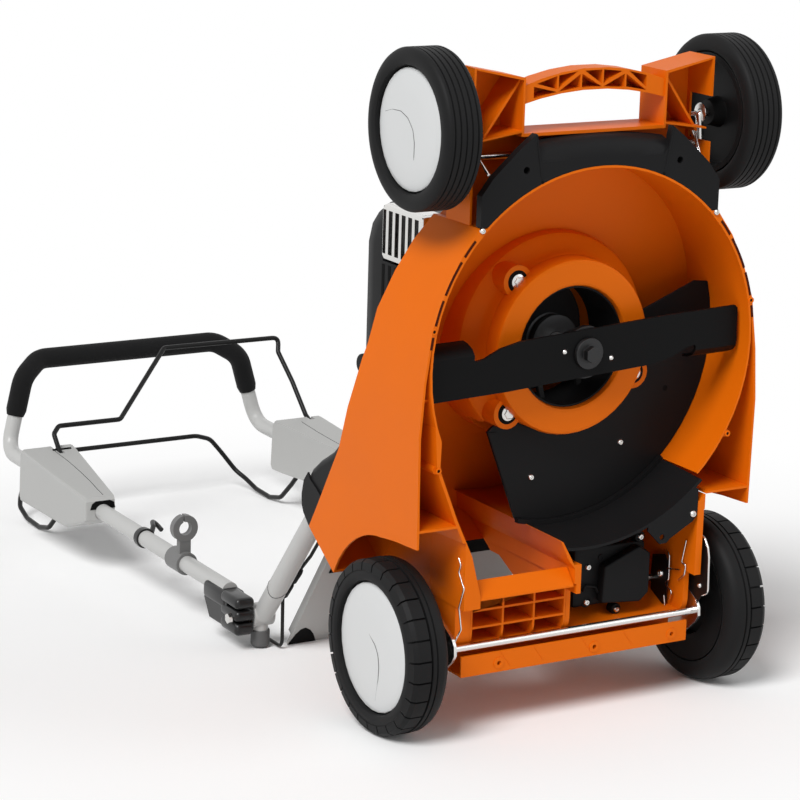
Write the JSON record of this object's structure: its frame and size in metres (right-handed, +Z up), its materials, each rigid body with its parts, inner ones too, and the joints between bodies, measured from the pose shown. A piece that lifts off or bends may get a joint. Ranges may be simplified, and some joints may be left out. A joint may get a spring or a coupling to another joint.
{
  "type": "walk-behind lawn mower",
  "caption": "Petrol rotary lawn mower with driven rear wheels and a one-sided folding handle, tipped back on its rear wheels and handle foot for cleaning",
  "frame": {"origin": "centre of the footprint, on the floor the mower stands on", "axes": "+Z up; the underside of the deck faces -Y, the handle lies towards +Y; +X is the mower's left side"},
  "size_m": [0.557, 1.4992, 0.8719],
  "materials": {
    "orange_plastic": "moulded, fine grain",
    "black_plastic": "moulded, satin",
    "black_hub": "moulded",
    "tyre_rubber": "moulded tread",
    "belt_rubber": "matt",
    "foam": "soft foam",
    "cap_plastic": "satin pale grey",
    "grey_tube": "pale grey powder coat",
    "grey_plastic": "moulded, pale grey",
    "bright_steel": "zinc plated",
    "dark_steel": "black paint",
    "pulley_metal": "turned",
    "engine_metal": "black cast"
  },
  "bodies": {
    "chassis": {"deck_shell": "orange_plastic", "front_frame": "orange_plastic", "front_skirt": "black_plastic", "rear_skirt": "black_plastic", "belt_cover": "black_plastic", "chute_ramp": "orange_plastic", "rear_lip": "orange_plastic", "gearbox_case": "black_plastic", "gearbox_cover": "black_plastic", "v_belt": "belt_rubber", "engine_block": "engine_metal", "engine_hood": "black_plastic", "air_filter": "black_plastic", "muffler": "engine_metal", "muffler_guard": "bright_steel", "flap_pin": "bright_steel", "handle_base": "black_plastic", "lower_handlebar": "grey_tube", "handle_foot": "black_plastic", "cable_clip": "black_plastic", "cable_lower": "belt_rubber"},
    "crank": {"crankshaft": "bright_steel", "crank_pulley": "pulley_metal", "blade_carrier": "dark_steel", "blade": "dark_steel", "blade_bolt": "bright_steel"},
    "gearbox_input": {"gearbox_pulley": "pulley_metal"},
    "shaft": {"drive_shaft": "bright_steel"},
    "pinion_left": {"pinion_left": "bright_steel"},
    "pinion_right": {"pinion_right": "bright_steel"},
    "rear_axle_frame": {"rear_frame": "bright_steel", "height_lever": "black_plastic"},
    "front_axle_bar": {"front_axle": "bright_steel"},
    "starter": {"starter_grip": "black_plastic"},
    "fuel_filler": {"fuel_cap": "black_plastic"},
    "oil_filler": {"oil_cap": "black_plastic"},
    "flap": {"discharge_flap": "grey_plastic"},
    "upper_handle": {"clamp_block": "black_plastic", "hinge_bolt": "bright_steel", "upper_handlebar": "grey_tube", "grip": "foam", "housing_left": "grey_plastic", "housing_right": "grey_plastic", "rope_guide": "grey_plastic", "cable_upper": "belt_rubber"},
    "stop_lever": {"stop_bail": "dark_steel"},
    "drive_lever": {"drive_bail": "dark_steel"},
    "wheel_front_left": {"tyre_front_left": "tyre_rubber", "hub_front_left": "black_hub", "cap_front_left": "cap_plastic"},
    "wheel_front_right": {"tyre_front_right": "tyre_rubber", "hub_front_right": "black_hub", "cap_front_right": "cap_plastic"},
    "wheel_rear_left": {"tyre_rear_left": "tyre_rubber", "hub_rear_left": "black_hub", "cap_rear_left": "cap_plastic"},
    "wheel_rear_right": {"tyre_rear_right": "tyre_rubber", "hub_rear_right": "black_hub", "cap_rear_right": "cap_plastic"}
  },
  "joints": [
    {"name": "crank_spin", "type": "hinge", "parent": "chassis", "child": "crank", "pos_m": [-0.0075, -0.61552, 0.4838], "axis": [0, 0.9984, 0.057], "continuous": true},
    {"name": "gearbox_spin", "type": "hinge", "parent": "chassis", "child": "gearbox_input", "pos_m": [0.0645, -0.59778, 0.1733], "axis": [0, 0.9984, 0.057], "continuous": true},
    {"name": "shaft_spin", "type": "hinge", "parent": "chassis", "child": "shaft", "pos_m": [-0.0075, -0.59641, 0.14934], "axis": [1, 0, 0], "continuous": true},
    {"name": "rear_swing", "type": "hinge", "parent": "chassis", "child": "rear_axle_frame", "pos_m": [-0.0075, -0.59641, 0.14934], "axis": [1, 0, 0], "range_deg": [-30, 30]},
    {"name": "front_swing", "type": "hinge", "parent": "chassis", "child": "front_axle_bar", "pos_m": [-0.0075, -0.64981, 0.73325], "axis": [1, 0, 0], "range_deg": [-30, 30]},
    {"name": "starter_pull", "type": "slide", "parent": "chassis", "child": "starter", "axis": [0, 0.9984, 0.057], "range_m": [0, 0.55], "stiffness_N_per_m": 15, "springref_m": -0.25},
    {"name": "fuel_cap_turn", "type": "hinge", "parent": "chassis", "child": "fuel_filler", "pos_m": [0.0375, -0.29194, 0.39511], "axis": [0, 0.9984, 0.057], "range_deg": [0, 90]},
    {"name": "oil_cap_turn", "type": "hinge", "parent": "chassis", "child": "oil_filler", "pos_m": [-0.1775, -0.42692, 0.44349], "axis": [1, 0, 0], "range_deg": [0, 90]},
    {"name": "flap_swing", "type": "hinge", "parent": "chassis", "child": "flap", "pos_m": [-0.0075, -0.37646, 0.24404], "axis": [1, 0, 0], "range_deg": [-92, 15]},
    {"name": "fold", "type": "hinge", "parent": "chassis", "child": "upper_handle", "pos_m": [-0.213, -0.16991, 0.0475], "axis": [1, 0, 0], "range_deg": [-54.9, 72]},
    {"name": "stop_swing", "type": "hinge", "parent": "upper_handle", "child": "stop_lever", "pos_m": [0.0045, 0.5067, 0.12623], "axis": [1, 0, 0], "range_deg": [-14, 0], "stiffness_Nm_per_rad": 4, "springref_deg": 17.19},
    {"name": "drive_swing", "type": "hinge", "parent": "upper_handle", "child": "drive_lever", "pos_m": [0.0045, 0.50978, 0.07231], "axis": [1, 0, 0], "range_deg": [0, 25], "stiffness_Nm_per_rad": 3, "springref_deg": -14.32},
    {"name": "rear_spin_left", "type": "hinge", "parent": "rear_axle_frame", "child": "wheel_rear_left", "pos_m": [0.23525, -0.59436, 0.1134], "axis": [1, 0, 0], "continuous": true},
    {"name": "front_spin_left", "type": "hinge", "parent": "front_axle_bar", "child": "wheel_front_left", "pos_m": [0.2145, -0.64698, 0.77147], "axis": [1, 0, 0], "continuous": true},
    {"name": "pinion_spin_left", "type": "hinge", "parent": "chassis", "child": "pinion_left", "pos_m": [0.2155, -0.59641, 0.14934], "axis": [1, 0, 0], "continuous": true},
    {"name": "rear_spin_right", "type": "hinge", "parent": "rear_axle_frame", "child": "wheel_rear_right", "pos_m": [-0.25025, -0.59436, 0.1134], "axis": [1, 0, 0], "continuous": true},
    {"name": "front_spin_right", "type": "hinge", "parent": "front_axle_bar", "child": "wheel_front_right", "pos_m": [-0.2295, -0.64698, 0.77147], "axis": [1, 0, 0], "continuous": true},
    {"name": "pinion_spin_right", "type": "hinge", "parent": "chassis", "child": "pinion_right", "pos_m": [-0.2305, -0.59641, 0.14934], "axis": [1, 0, 0], "continuous": true}
  ],
  "couplings": [
    {"joint": "gearbox_spin", "follows": "crank_spin", "ratio": 1.1569},
    {"joint": "front_swing", "follows": "rear_swing", "ratio": -1},
    {"joint": "pinion_spin_left", "follows": "rear_spin_left", "ratio": 3.5714},
    {"joint": "pinion_spin_right", "follows": "rear_spin_right", "ratio": 3.5714}
  ]
}
